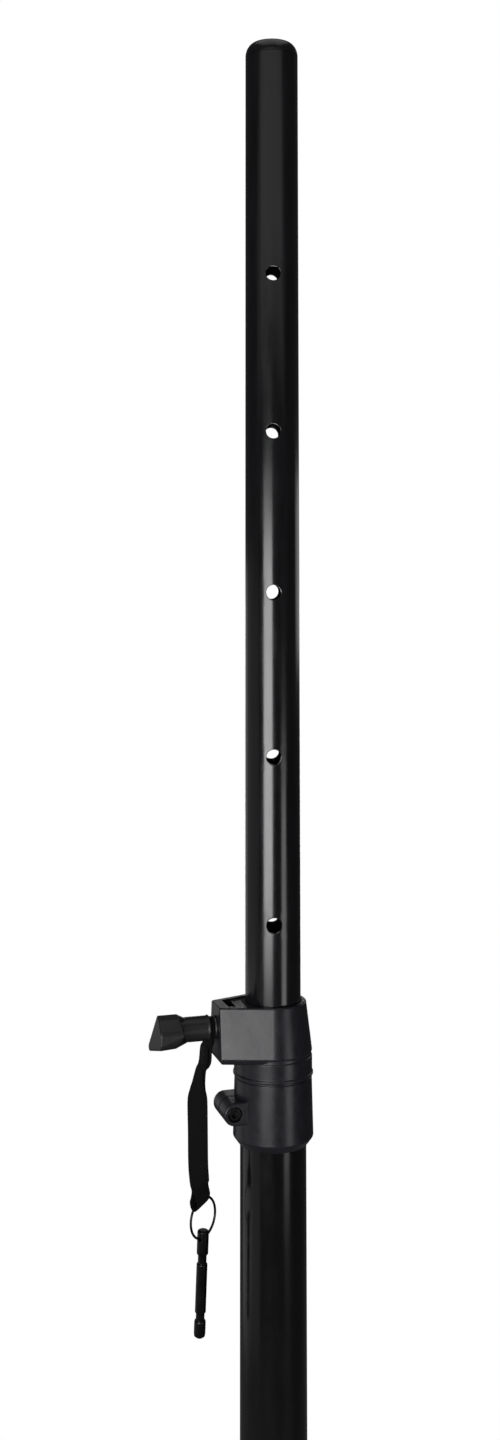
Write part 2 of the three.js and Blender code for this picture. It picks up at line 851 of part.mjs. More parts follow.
function strap() {
  const hole = rod(studRadius + strapHoleGap, bossReach, knobStart, smallSegments);
  return cut(skinned(strapStations().map(strapSection)), onKnobAxis(hole), eyeSpace());
}

// The ring stands upright in the plane of ringTurn, with its wire through the eye.
function ringCentre() {
  const slope = radians(strapEndSlope);
  const inward = radians(strapEndTurn());
  const eye = eyeCentre();
  return new THREE.Vector3(
    eye.x + ringRadius * Math.sin(slope) * Math.cos(inward),
    eye.y + ringRadius * Math.sin(slope) * Math.sin(inward),
    eye.z - ringRadius * Math.cos(slope),
  );
}

function keyRing() {
  const wire = new THREE.TorusGeometry(ringRadius, ringWireRadius, wireSegments, ringSegments);
  wire.rotateX(Math.PI / 2).rotateZ(radians(ringTurn));
  return solid(wire).translate(ringCentre().toArray());
}

function lockPin() {
  const total = pinTopHead + pinTopGroove + pinBody + pinGroove + pinEndHead;
  const bodyLow = -total + pinEndHead + pinGroove;
  const shape = turned([
    [0, -total],
    [pinHeadRadius - 2 * pinEdge, -total],
    [pinHeadRadius, -total + 2 * pinEdge],
    [pinHeadRadius, -total + pinEndHead - pinEdge],
    [pinGrooveRadius, -total + pinEndHead],
    [pinGrooveRadius, bodyLow],
    [pinBodyRadius, bodyLow],
    [pinBodyRadius, bodyLow + pinBody],
    [pinGrooveRadius, bodyLow + pinBody],
    [pinGrooveRadius, -pinTopHead],
    [pinHeadRadius, -pinTopHead + pinEdge],
    [pinHeadRadius, -pinEdge],
    [pinHeadRadius - pinEdge, 0],
    [0, 0],
  ], smallSegments);
  const reach = pinHeadRadius + overrun;
  const hole = alongX(rod(pinHoleRadius, -reach, reach, smallSegments)).rotate([0, 0, ringTurn]);
  const centre = ringCentre();
  const holeHeight = centre.z - ringRadius;
  const drilled = cut(shape, hole.translate([0, 0, -pinHoleDrop])).translate([0, 0, pinHoleDrop]);
  const leaning = drilled.rotate([0, 0, -ringTurn]).rotate([-pinLean, 0, 0]).rotate([0, 0, ringTurn]);
  return leaning.translate([centre.x, centre.y, holeHeight]);
}

// Assembly
const pole = new THREE.Group();

const base = new THREE.Group();
base.add(named("base_plug", basePlug(), finish.nylon));
base.add(named("base_spigot", baseSpigot(), finish.spigot));
spigotPinHeights().forEach((height, i) => {
  base.add(named(`spigot_pin_${i + 1}`, spigotPin(height), finish.steel));
});
base.add(named("lower_tube", lowerTube(), finish.powderCoat));
base.add(named("tube_liner", tubeLiner(), finish.nylon));
pole.add(base);

const mast = new THREE.Group();
mast.add(named("mast_tube", mastTube(), finish.mastCoat));
mast.add(named("top_cap", topCap(), finish.nylon));
mast.add(named("mast_foot", mastFoot(), finish.nylon));
mast.add(named("foot_pin", footPin(), finish.steel));
mast.add(named("guide_bush", guideBush(), finish.nylon));
pole.add(mast);

// Everything on the collar turns with the boss, whose outward direction is local +X.
const collar = new THREE.Group();
collar.rotation.z = Math.PI + radians(bossAngle);
collar.add(named("collar_housing", collarHousing(), finish.housing));
collar.add(named("captive_nut", captiveNut(), finish.steel));
collar.add(named("pressure_shoe", pressureShoe(), finish.housing));
collar.add(named("shoe_pad", shoePad(), finish.nylon));
collar.add(named("lock_stud", lockStud(), finish.steel));
collar.add(named("lock_knob", lockKnob(), finish.knob));
collar.add(named("knob_washer", knobWasher(), finish.steel));
collar.add(named("clamp_screw", clampScrew(), finish.blackSteel));
collar.add(named("clamp_nut", clampNut(), finish.steel));
collar.add(named("strap", strap(), finish.webbing));
collar.add(named("key_ring", keyRing(), finish.blackSteel));
collar.add(named("lock_pin", lockPin(), finish.blackSteel));
pole.add(collar);

export default pole;
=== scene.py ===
"""Looks of the telescopic loudspeaker pole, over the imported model.

Shapes are worked out in millimetres and written in metres. The collar's own pieces are made with
+X outwards along the knob's axis and +Z up from the pole's foot, and are then turned into place.
"""
import json
import math

import bmesh
import bpy
import numpy as np
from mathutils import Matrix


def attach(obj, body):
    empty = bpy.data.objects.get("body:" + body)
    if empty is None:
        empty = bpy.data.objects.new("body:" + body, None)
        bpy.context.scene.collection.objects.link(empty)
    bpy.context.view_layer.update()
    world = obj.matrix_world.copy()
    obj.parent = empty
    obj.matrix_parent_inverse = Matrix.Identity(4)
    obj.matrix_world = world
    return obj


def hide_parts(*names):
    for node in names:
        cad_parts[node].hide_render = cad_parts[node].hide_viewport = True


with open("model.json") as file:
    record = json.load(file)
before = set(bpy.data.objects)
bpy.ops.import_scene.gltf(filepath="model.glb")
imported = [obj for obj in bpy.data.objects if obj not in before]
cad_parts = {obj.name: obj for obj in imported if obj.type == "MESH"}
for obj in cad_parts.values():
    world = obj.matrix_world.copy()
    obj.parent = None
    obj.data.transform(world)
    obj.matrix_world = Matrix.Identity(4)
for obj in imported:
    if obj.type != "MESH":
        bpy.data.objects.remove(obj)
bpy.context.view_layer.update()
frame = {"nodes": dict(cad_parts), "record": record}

MM = 0.001
TAU = 2 * math.pi

# Sizes shared with the solids, in millimetres. R is a radius, Z a height above the foot, A a reach
# along the knob's axis, HALF a half width, and the rest say what they are.
POLE_TOP = 1450.0
MAST_R, MAST_BORE = 17.5, 15.5
MAST_Z0, MAST_Z1 = 705.3, 1440.4
LOWER_R, LOWER_BORE = 20.65, 19.0
TUBE_Z0, TUBE_Z1 = 74.3, 790.3
SPIGOT_R, SPIGOT_BORE, SPIGOT_DEEP = 17.5, 12, 49
FLANGE_Z, FLANGE_HIGH = 70.0, 4
CAP_HIGH, CAP_ROUND, CAP_DEEP = 9.3, 7, 22
CAP_LOW = POLE_TOP - CAP_HIGH
HOLE_R, HOLE_DROP, HOLE_PITCH = 4.75, 159, 103
HOLE_Z = [POLE_TOP - HOLE_DROP - HOLE_PITCH * i for i in range(5)]
COLLAR_Z = 830.3
COLLAR_TURN = math.radians(194)
COLLAR_BORE, SLEEVE_BORE, SEAT_DROP, COLLAR_HIGH = 18.1, 20.95, 37.4, 85.3
RIM_R, CONE_R, CONE_DROP = 20.9, 24.5, 29.5
BOSS_REACH, BOSS_HALF, BOSS_CORNER, BOSS_LOW = 37.5, 10.3, 1.2, 32.7
KNOB_Z = COLLAR_Z - 13.8
KNOB_END, STEM_END, STEM_START = 76.0, 64.3, 42
STUD_BORE, STUD_HOLE_R = 4.2, 4.3
EAR_A, EAR_Z, EAR_R, EAR_HALF = 28.4, COLLAR_Z - 62.8, 6.8, 13.5
STRAP_A, EYE_A, DROP = 40.5, 47.0, 101.3
EYE_Z = KNOB_Z - DROP
RING_R, RING_TURN, EYE_SLOPE = 11.8, 36.5, 15.0
PIN_HOLE_DROP, PIN_HOLE_R, PIN_LEAN = 4.7, 1.3, 2.5
# The wire is drawn 1.5 mm thick over its solid of 1.2 mm, because the photo's ring looks that strong
WIRE_R = 0.75

WHITE = (1, 1, 1, 1)


# Materials

def srgb(code):
    """A written colour as linear values: c/12.92 up to 0.04045, else ((c + 0.055)/1.055)^2.4."""
    c = np.array([int(code[i:i + 2], 16) for i in (1, 3, 5)]) / 255
    return (*np.where(c <= 0.04045, c / 12.92, ((c + 0.055) / 1.055) ** 2.4).tolist(), 1.0)


def add_node(tree, kind, inputs=None, out=0, **settings):
    """A node with its settings. Its inputs are numbers, colours or other nodes' outputs, and the
    output named by out is given back."""
    node = tree.nodes.new(kind)
    for name, value in settings.items():
        setattr(node, name, value)
    for key, value in (inputs or {}).items():
        if isinstance(value, bpy.types.NodeSocket):
            tree.links.new(value, node.inputs[key])
        else:
            node.inputs[key].default_value = value
    return node.outputs[out]


def new_material(name, **values):
    """A material whose one shader has the values that are the same all over."""
    mat = bpy.data.materials.new(name)
    mat.use_nodes = True
    shader = mat.node_tree.nodes["Principled BSDF"]
    for key, value in values.items():
        shader.inputs[key.replace("_", " ")].default_value = value
    return mat, mat.node_tree, shader


def hard_surface(name, colour, worn, roughness, spread, grain, depth, stretch=(1, 1, 1), edge=0.0,
                 **values):
    """A hard finish. The colour runs from colour to worn, and the roughness drifts by spread, with
    cloudy marks 6 mm across, drawn out by stretch, over broad ones 36 mm across. The fine relief is
    grain mm across and depth mm high, and the sharp edges are eased by edge mm."""
    mat, tree, shader = new_material(name, **values)
    point = add_node(tree, "ShaderNodeTexCoord", out="Object")
    drawn = add_node(tree, "ShaderNodeMapping", {"Vector": point, "Scale": stretch})
    marks = add_node(tree, "ShaderNodeTexNoise", {
        "Vector": drawn, "Scale": 1 / (6 * MM), "Detail": 5.0, "Roughness": 0.65})
    broad = add_node(tree, "ShaderNodeTexNoise", {
        "Vector": point, "Scale": 1 / (36 * MM), "Detail": 4.0, "Roughness": 0.6})
    fine = add_node(tree, "ShaderNodeTexNoise", {
        "Vector": point, "Scale": 1 / (grain * MM), "Detail": 2.0})
    both = add_node(tree, "ShaderNodeMath", {0: broad, 1: marks}, operation="MULTIPLY")
    rough = add_node(tree, "ShaderNodeMapRange", {
        "Value": both, "From Min": 0.12, "From Max": 0.42, "To Min": roughness - spread,
        "To Max": roughness + spread})
    share = add_node(tree, "ShaderNodeMapRange", {
        "Value": marks, "From Min": 0.35, "From Max": 0.75})
    shade = add_node(tree, "ShaderNodeMix", {0: share, 6: srgb(colour), 7: srgb(worn)}, out=2,
                     data_type="RGBA")
    relief = {"Height": fine, "Strength": 1.0, "Distance": depth * MM}
    if edge:
        relief["Normal"] = add_node(tree, "ShaderNodeBevel", {"Radius": edge * MM}, samples=4)
    tree.links.new(rough, shader.inputs["Roughness"])
    tree.links.new(shade, shader.inputs["Base Color"])
    tree.links.new(add_node(tree, "ShaderNodeBump", relief), shader.inputs["Normal"])
    return mat


def webbing():
    """Woven polyester webbing: dyed black, dull, with a weave of ribs and a soft fuzz.

    With u and v counting the threads along the two sides of the band, the height is |sin(pi u)|
    where floor(u) + floor(v) is odd and 0.8 |sin(pi v)| where it is even, so the threads pass over
    and under each other. The colour is half that height and half a broad random mottle, so the
    hollows between the threads are darkened with painted shade and their tops lightened with a
    painted highlight. The real threads are about 0.5 mm wide; they are drawn 1.1 mm wide, because
    finer ones don't show."""
    mat, tree, shader = new_material("webbing", Roughness=0.8, Specular_IOR_Level=0.1,
                                     Sheen_Weight=0.015, Sheen_Roughness=0.5)
    uv = add_node(tree, "ShaderNodeUVMap", uv_map="UVMap")
    apart = add_node(tree, "ShaderNodeSeparateXYZ", {0: uv}, out="X").node
    point = add_node(tree, "ShaderNodeTexCoord", out="Object")
    made = {"x": apart.outputs["X"], "y": apart.outputs["Y"]}
    for name, across, detail in (("fuzz", 0.4, 3.0), ("broad", 8, 4.0)):
        made[name] = add_node(tree, "ShaderNodeTexNoise", {
            "Vector": point, "Scale": 1 / (across * MM), "Detail": detail})
    for name, a, operation, b in (
            ("u", "x", "DIVIDE", 1.1 * MM), ("v", "y", "DIVIDE", 1.4 * MM),
            ("warp", "u", "MULTIPLY", math.pi), ("warp", "warp", "SINE", 0),
            ("warp", "warp", "ABSOLUTE", 0),
            ("weft", "v", "MULTIPLY", math.pi), ("weft", "weft", "SINE", 0),
            ("weft", "weft", "ABSOLUTE", 0), ("weft", "weft", "MULTIPLY", 0.8),
            ("over", "u", "FLOOR", 0), ("row", "v", "FLOOR", 0), ("over", "over", "ADD", "row"),
            ("over", "over", "ABSOLUTE", 0), ("over", "over", "MODULO", 2),
            ("under", 1, "SUBTRACT", "over"),
            ("over", "over", "MULTIPLY", "warp"), ("under", "under", "MULTIPLY", "weft"),
            ("top", "over", "ADD", "under"),
            # Half the weave's height, which paints shade into the hollows and light onto the thread
            # tops, and half the broad random mottle
            ("weave_shade_and_mottle", "top", "MULTIPLY", 0.5), ("broad", "broad", "MULTIPLY", 0.5),
            ("weave_shade_and_mottle", "weave_shade_and_mottle", "ADD", "broad"),
            ("fuzz", "fuzz", "MULTIPLY", 0.35), ("height", "top", "ADD", "fuzz")):
        made[name] = add_node(tree, "ShaderNodeMath", {0: made.get(a, a), 1: made.get(b, b)},
                              operation=operation)
    # The colour follows the weave's height: painted shade in the hollows between the threads and a
    # painted highlight on their tops, over a broad random mottle.
    shade = add_node(tree, "ShaderNodeMix", {
        0: made["weave_shade_and_mottle"], 6: srgb("#030303"), 7: srgb("#0e0e0f")}, out=2, data_type="RGBA")
    relief = add_node(tree, "ShaderNodeBump", {
        "Height": made["height"], "Strength": 1.0, "Distance": 0.2 * MM})
    tree.links.new(shade, shader.inputs["Base Color"])
    tree.links.new(relief, shader.inputs["Normal"])
    return mat


LOOKS = {
    # Black polyester powder coat, sprayed and baked on steel tube: deep black with a clear gloss,
    # broken by a faint orange peel about 1 mm across.
    "mast_black": hard_surface(
        "powder_coated_mast", "#0a0a0c", "#121215", roughness=0.2, spread=0.04,
        grain=1.0, depth=0.006, stretch=(1, 1, 0.12)),
    "tube_black": hard_surface(
        "powder_coated_tube", "#070708", "#0e0e0f", roughness=0.19, spread=0.03,
        grain=1.0, depth=0.005, stretch=(1, 1, 0.2), IOR=1.4),
    "spigot_black": hard_surface(
        "powder_coated_spigot", "#0e0e10", "#1c1c1e", roughness=0.28, spread=0.06,
        grain=1.0, depth=0.008, edge=0.4),
    # Glass-filled nylon, moulded in an etched tool: charcoal, with a broad dull gloss.
    "housing_grey": hard_surface(
        "moulded_nylon_collar", "#151418", "#1f1e24", roughness=0.31, spread=0.05,
        grain=0.7, depth=0.014, edge=0.35, IOR=1.4),
    # The same nylon in black, from a smoother tool.
    "knob_black": hard_surface(
        "moulded_nylon_knob", "#111113", "#19191b", roughness=0.4, spread=0.05,
        grain=0.6, depth=0.015, edge=0.6),
    "nylon_black": hard_surface(
        "moulded_nylon_black", "#0c0c0e", "#141416", roughness=0.24, spread=0.04,
        grain=0.8, depth=0.006),
    # Nitrile rubber, cut from sheet: matt and slightly dusty.
    "pad_rubber": hard_surface(
        "nitrile_rubber", "#121212", "#1d1d1c", roughness=0.75, spread=0.05,
        grain=0.5, depth=0.04),
    # Zinc plated steel: bluish grey metal, clouded by the passivating bath.
    "zinc_steel": hard_surface(
        "zinc_plated_steel", "#77787a", "#5c5c5a", roughness=0.36, spread=0.08,
        grain=0.4, depth=0.005, edge=0.3, Metallic=1.0),
    # Black oxide on steel, oiled: near black, with a soft gloss drawn out along the pin.
    "hardware_black": hard_surface(
        "black_oxide_steel", "#020202", "#090908", roughness=0.26, spread=0.06,
        grain=0.6, depth=0.003, stretch=(1, 1, 0.6), IOR=1.3),
    "webbing_black": webbing(),
}


# Surfaces as grids of points

# Points closer than this, in millimetres, are the same point
SAME = 1e-4


def grid_faces(rows, columns, closed=False):
    """Quads of a grid whose columns run round: a point, the next one round, and the two in the row
    after. A closed grid also joins its last row to its first."""
    row = np.arange(rows if closed else rows - 1)[:, None]
    column = np.arange(columns)[None, :]
    after, on = (row + 1) % rows, (column + 1) % columns
    return np.stack([row * columns + column, row * columns + on,
                     after * columns + on, after * columns + column], -1)


def skin(points, closed=False, kept=None, uv=None):
    """A mesh over a grid of points, of rows by columns. An open grid's first and last rows are
    each filled with a face, and a row that is one point becomes a pole."""
    rows, columns = points.shape[:2]
    quads = grid_faces(rows, columns, closed)
    faces = (quads[kept] if kept is not None else quads.reshape(-1, 4)).tolist()
    if kept is None and not closed:
        last = (rows - 1) * columns
        faces += [end for end, ring in ((list(range(columns))[::-1], points[0]),
                                        (list(range(last, last + columns)), points[-1]))
                  if np.ptp(ring, axis=0).max() > 0.001]
    mesh = bpy.data.meshes.new("skin")
    mesh.from_pydata(points.reshape(-1, 3).tolist(), [], faces)
    if uv is not None:
        index = np.empty(len(mesh.loops), int)
        mesh.loops.foreach_get("vertex_index", index)
        mesh.uv_layers.new(name="UVMap").data.foreach_set("uv", uv.reshape(-1, 2)[index].ravel())
    return tidied(mesh)


def tidied(*meshes):
    """The meshes as one, with their doubles merged and their faces turned outwards."""
    bm = bmesh.new()
    for mesh in meshes:
        bm.from_mesh(mesh)
    bmesh.ops.remove_doubles(bm, verts=bm.verts, dist=SAME)
    bmesh.ops.recalc_face_normals(bm, faces=bm.faces)
    bm.to_mesh(meshes[0])
    bm.free()
    return meshes[0]


def turned(profile, columns=96):
    """A profile of (radius r, height z) turned about Z: (r cos t, r sin t, z), t from 0 to 2 pi."""
    r, z = np.array(profile, float).T[:, :, None]
    t = TAU * np.arange(columns) / columns
    return np.stack([r * np.cos(t), r * np.sin(t), z + 0 * t], -1)


def eased(profile, radius, steps=4, closed=True):
    """An outline with its corners eased: (1-t)^2 start + 2t(1-t) corner + t^2 end, where start and
    end lie on the corner's two sides, at most radius away from it."""
    p = np.array(profile, float)
    sides = [np.roll(p, turn, 0) - p for turn in (1, -1)]
    lengths = [np.linalg.norm(side, axis=1)[:, None] for side in sides]
    far = np.minimum(radius, 0.45 * np.minimum(*lengths))
    if not closed:
        far[[0, -1]] = 0
    start, end = (p + side / length * far for side, length in zip(sides, lengths))
    t = np.linspace(0, 1, steps + 1)[None, :, None]
    curve = (1 - t) ** 2 * start[:, None] + 2 * t * (1 - t) * p[:, None] + t ** 2 * end[:, None]
    return curve.reshape(-1, p.shape[1])


def band_round(circles, columns):
    """The tightest band round circles of (x, y, radius): in each direction n, the point centre +
    radius n of the circle that reaches furthest along n."""
    t = TAU * (np.arange(columns) + 0.5) / columns
    n = np.stack([np.cos(t), np.sin(t)], -1)
    c = np.array(circles, float)
    best = np.argmax(c[:, :2] @ n.T + c[:, 2:], 0)
    return c[best, :2] + c[best, 2:] * n


def lofted(levels, columns):
    """The bands round the circles of each level of (height, circles), joined straight from level
    to level at the same direction."""
    return np.stack([np.column_stack([band_round(circles, columns), np.full(columns, z)])
                     for z, circles in levels])


def laid(points, axis):
    """Turned from Z to X or to Y: (x, y, z) becomes (z, y, -x), or (x, z, -y)."""
    x, y, z = np.moveaxis(points, -1, 0)
    return np.stack([z, y, -x] if axis == "X" else [x, z, -y], -1)


def on_collar(points):
    """From the collar's frame to the pole's: a turn of COLLAR_TURN about Z."""
    c, s = math.cos(COLLAR_TURN), math.sin(COLLAR_TURN)
    return points @ np.array([[c, s, 0], [-s, c, 0], [0, 0, 1]])


def rod(radius, low, high, axis="Z", at=(0, 0, 0), columns=64):
    """A plain cylinder as a mesh, in the collar's frame."""
    points = turned([(0, low), (radius, low), (radius, high), (0, high)], columns)
    return skin(on_collar((laid(points, axis) if axis != "Z" else points) + at))


def hexagon(across, low, high, axis, at):
    """A hexagonal prism as a mesh, in the collar's frame."""
    radius = across / math.sqrt(3)
    return skin(on_collar(laid(turned([(radius, low), (radius, high)], 6), axis) + at))


def block(low, high):
    """A box as a mesh, in the collar's frame."""
    (x0, y0, z0), (x1, y1, z1) = low, high
    levels = [[(x0, y0, z), (x1, y0, z), (x1, y1, z), (x0, y1, z)] for z in (z0, z1)]
    return skin(on_collar(np.array(levels, float)))


def hull(points):
    """The convex form round a cloud of points."""
    bm = bmesh.new()
    for p in points.tolist():
        bm.verts.new(p)
    bmesh.ops.remove_doubles(bm, verts=bm.verts, dist=SAME)
    inside = bmesh.ops.convex_hull(bm, input=bm.verts)["geom_interior"]
    bmesh.ops.delete(bm, geom=[g for g in inside if isinstance(g, bmesh.types.BMVert)],
                     context="VERTS")
    bmesh.ops.recalc_face_normals(bm, faces=bm.faces)
    mesh = bpy.data.meshes.new("hull")
    bm.to_mesh(mesh)
    bm.free()
    return mesh


def combine(base, others, operation):
    """The base mesh after a union with, or a cut by, each of the others."""
    scene = bpy.context.scene
    obj = bpy.data.objects.new("base", base)
    scene.collection.objects.link(obj)
    helpers = []
    for other in others:
        helper = bpy.data.objects.new("helper", other)
        scene.collection.objects.link(helper)
        helpers.append(helper)
        mod = obj.modifiers.new("combine", "BOOLEAN")
        mod.operation, mod.solver, mod.object = operation, "MANIFOLD", helper
    bpy.context.view_layer.update()
    graph = bpy.context.evaluated_depsgraph_get()
    done = bpy.data.meshes.new_from_object(obj.evaluated_get(graph))
    for used in [obj, *helpers]:
        data = used.data
        bpy.data.objects.remove(used)
        bpy.data.meshes.remove(data)
    return done


def place(name, mesh, body, slot, *replaced, crease=32):
    """A piece from a mesh in millimetres: smooth, with sharp edges where two faces meet at more
    than the crease angle, and with its large faces shaded flat."""
    co = np.empty(3 * len(mesh.vertices), np.float32)
    mesh.vertices.foreach_get("co", co)
    mesh.vertices.foreach_set("co", co * MM)
    bm = bmesh.new()
    bm.from_mesh(mesh)
    for face in bm.faces:
        face.smooth = True
    for edge in bm.edges:
        edge.smooth = len(edge.link_faces) == 2 and edge.calc_face_angle(0) < math.radians(crease)
    bm.to_mesh(mesh)
    bm.free()
    obj = bpy.data.objects.new(name, mesh)
    bpy.context.scene.collection.objects.link(obj)
    mesh.materials.clear()
    mesh.materials.append(LOOKS[slot])
    even = obj.modifiers.new("even_shading", "WEIGHTED_NORMAL")
    even.keep_sharp = True
    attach(obj, body)
    if replaced:
        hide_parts(*replaced)
    return obj


# Tubes, cap, spigot and plug

# The mast's faces: columns round it, columns from a hole's middle to the edge of its patch, rows in
# a patch and between two, a patch's half height, and the ease of the holes' rims
COLUMNS, HALF, ROWS_IN, ROWS_OUT, PATCH, EASE = 96, 7, 14, 6, 9.0, 0.4


def hole_patch(height, side):
    """A square patch of the mast's wall with one hole in it, as rings of points round the hole.

    Each ring is (x, side sqrt(r^2 - x^2), z). On the outer skin x and z run from the patch's edge
    to a circle of radius HOLE_R + EASE, a quarter round takes them to HOLE_R, and the same rings
    on the bore's skin follow in the other order."""
    edge, up = np.arange(-HALF, HALF), np.arange(ROWS_IN)
    column = np.concatenate([edge, np.full(ROWS_IN, HALF), -edge, np.full(ROWS_IN, -HALF)])
    row = np.concatenate([np.zeros(2 * HALF), up, np.full(2 * HALF, ROWS_IN), ROWS_IN - up])
    z_edge = PATCH * (2 * row / ROWS_IN - 1)
    across = np.sin(TAU * column / COLUMNS)
    phi = np.arctan2(z_edge, MAST_R * across)
    share = np.array([0, 0.45, 0.8, 1])[:, None]
    quarter = np.linspace(0, math.pi / 2, 5)[1:, None]
    rim, rho = HOLE_R + EASE, HOLE_R + EASE * (1 - np.sin(quarter))
    rings = []
    for r, inward in ((MAST_R, -1), (MAST_BORE, 1)):
        x_edge = r * across
        x = np.vstack([x_edge + (rim * np.cos(phi) - x_edge) * share, rho * np.cos(phi)])
        z = np.vstack([z_edge + (rim * np.sin(phi) - z_edge) * share, rho * np.sin(phi)])
        depth = np.vstack([np.full((len(share), 1), r), r + inward * EASE * (1 - np.cos(quarter))])
        rings.append(np.stack([x, side * np.sqrt(depth ** 2 - x ** 2), z + height], -1))
    points = np.concatenate([rings[0], rings[1][::-1]])
    return skin(points, kept=np.ones((len(points) - 1, points.shape[1]), bool))


def mast():
    """The drilled tube: a closed profile of two radii turned about Z, less a square patch at each
    hole on both skins, and the hole patches in their place."""
    levels, in_patch = [MAST_Z0], []
    for z in sorted(HOLE_Z):
        levels += np.linspace(levels[-1], z - PATCH, ROWS_OUT + 1)[1:].tolist()
        levels += np.linspace(z - PATCH, z + PATCH, ROWS_IN + 1)[1:].tolist()
        in_patch += [False] * ROWS_OUT + [True] * ROWS_IN
    levels += np.linspace(levels[-1], MAST_Z1, ROWS_OUT + 1)[1:].tolist()
    in_patch += [False] * ROWS_OUT
    profile = [(MAST_R, z) for z in levels] + [(MAST_BORE, z) for z in levels[::-1]]
    rows = np.array(in_patch + [False] + in_patch[::-1] + [False])
    column = (np.arange(COLUMNS) + 0.5 - COLUMNS / 4) % (COLUMNS / 2)
    near = np.minimum(column, COLUMNS / 2 - column) < HALF
    body = skin(turned(profile, COLUMNS), closed=True, kept=~(rows[:, None] & near[None, :]))
    return tidied(body, *[hole_patch(z, side) for z in HOLE_Z for side in (1, -1)])


place("mast", mast(), "mast", "mast_black", "mast_tube", crease=40)

# A quarter of an ellipse down to the mast's end, over a hollow plug that fills its bore
dome = [(MAST_R - CAP_ROUND * (1 - math.cos(a)), CAP_LOW + CAP_HIGH * math.sin(a))
        for a in np.linspace(0, math.pi / 2, 16)]
place("mast_cap", skin(turned([
    (0, CAP_LOW), (12.7, CAP_LOW), (12.7, CAP_LOW - CAP_DEEP), (15.2, CAP_LOW - CAP_DEEP),
    (15.2, CAP_LOW), *dome, (0, POLE_TOP)])), "mast", "nylon_black", "top_cap")
place("lower_pole", skin(turned(eased([
    (LOWER_BORE, TUBE_Z0), (LOWER_R, TUBE_Z0), (LOWER_R, TUBE_Z1), (LOWER_BORE, TUBE_Z1)],
    0.4), 128), True), "stand", "tube_black", "lower_tube", crease=40)
place("spigot", skin(turned(eased([
    (SPIGOT_BORE, 3.3), (16, 3.3), (SPIGOT_R, 4.8), (SPIGOT_R, FLANGE_Z), (LOWER_R, FLANGE_Z),
    (LOWER_R, FLANGE_Z + FLANGE_HIGH), (18.7, FLANGE_Z + FLANGE_HIGH),
    (18.7, FLANGE_Z + SPIGOT_DEEP), (SPIGOT_BORE, FLANGE_Z + SPIGOT_DEEP)], 0.4)), True),
    "stand", "spigot_black", "base_spigot")
place("foot_plug", skin(turned(eased([
    (0, 0), (15.5, 0), (16.5, 1), (16.5, 3), (11.7, 3), (11.7, 18), (0, 18)],
    0.5, closed=False))), "stand", "nylon_black", "base_plug")


# Collar housing

def flat_turn():
    """Angle of the boss's flats: their normal touches both the rim and the boss's corner, so it is
    atan2(y, x) + acos((rim - corner) / distance), for a corner centred at (x, y)."""
    x, y = BOSS_REACH - BOSS_CORNER, BOSS_HALF - BOSS_CORNER
    return math.atan2(y, x) + math.acos((RIM_R - BOSS_CORNER) / math.hypot(x, y))


def collar_head():
    """The cone and the boss as one loft. Each level is a band round the body's circle, which grows
    evenly down the cone, and two corner circles that stay on the flats' normal. The body and the
    boss are drawn in at their edges, each by its own amount."""
    z = COLLAR_Z
    turn, x = flat_turn(), BOSS_REACH - BOSS_CORNER
    levels = []
    for inset, boss_inset, height in eased([
            (1.0, 1.0, z), (0.5, 0.5, z), (0, 0, z - 0.5), (0, 0, z - CONE_DROP),
            (1.1, 0.1, z - BOSS_LOW + 0.9), (1.5, 0.9, z - BOSS_LOW), (2.0, 1.4, z - BOSS_LOW)],
            0.4, 5, closed=False):
        cone = np.interp(height, [z - CONE_DROP, z - 0.5], [CONE_R, RIM_R])
        y = (cone - boss_inset - BOSS_CORNER - x * math.cos(turn)) / math.sin(turn)
        corners = [(x - boss_inset, side * y, BOSS_CORNER) for side in (1, -1)]
        levels.append((height, [(0, 0, cone - inset), *corners]))
    return skin(on_collar(lofted(levels, 240)))


def pocket():
    """The pocket for the shoe: the boss's top drawn in by its walls, straight down. Its sides run
    along the flats, which touch the rim at (touch_x, touch_y)."""
    wall, front, deep = 4.2, 6, 28.5
    angle = math.atan2(BOSS_HALF, BOSS_REACH) + math.acos(RIM_R / math.hypot(BOSS_REACH, BOSS_HALF))
    touch_x, touch_y = RIM_R * math.cos(angle), RIM_R * math.sin(angle)
    slope = (touch_y - BOSS_HALF) / (BOSS_REACH - touch_x)
    end = BOSS_REACH - front
    near, far = (touch_y - slope * (x - touch_x) - wall * math.hypot(1, slope)
                 for x in (touch_x, end))
    outline = eased([(0, near), (touch_x, near), (end, far), (end, -far), (touch_x, -near),
                     (0, -near)], 1.2, 5)
    return skin(on_collar(np.stack([np.column_stack([outline, np.full(len(outline), z)])
                                    for z in (COLLAR_Z - deep, COLLAR_Z + 2)])))


def ear():
    """A band round two circles across the sleeve, carried along Y with eased ends."""
    profile = eased([(2, -EAR_HALF), (0.7, -EAR_HALF), (0, -EAR_HALF + 0.7), (0, EAR_HALF - 0.7),
                     (0.7, EAR_HALF), (2, EAR_HALF)], 0.5, closed=False)
    levels = [(y, [(0, 0, EAR_R - inset), (EAR_A, 0, EAR_R - inset)]) for inset, y in profile]
    return skin(on_collar(laid(lofted(levels, 120), "Y") + (0, 0, EAR_Z)))


# The sleeve's outline, as radius and drop below the collar's top: into the head, the groove under
# it, the bead, the skirt that widens downwards, the rim, and up the two bores
SLEEVE = [
    (COLLAR_BORE, 29.5), (24.0, 29.5), (24.05, 32.3), (24.5, 32.8), (24.5, 41.9), (25.1, 42.5),
    (25.1, 43.7), (24.5, 44.0), (23.7, 44.1), (23.7, 45.2), (24.25, 45.3), (24.35, 50),
    (25.05, 79.2), (25.1, 80.4), (24.7, 81.2), (21.7, 85.1), (21.3, COLLAR_HIGH),
    (SLEEVE_BORE, COLLAR_HIGH), (SLEEVE_BORE, SEAT_DROP), (COLLAR_BORE, SEAT_DROP),
]


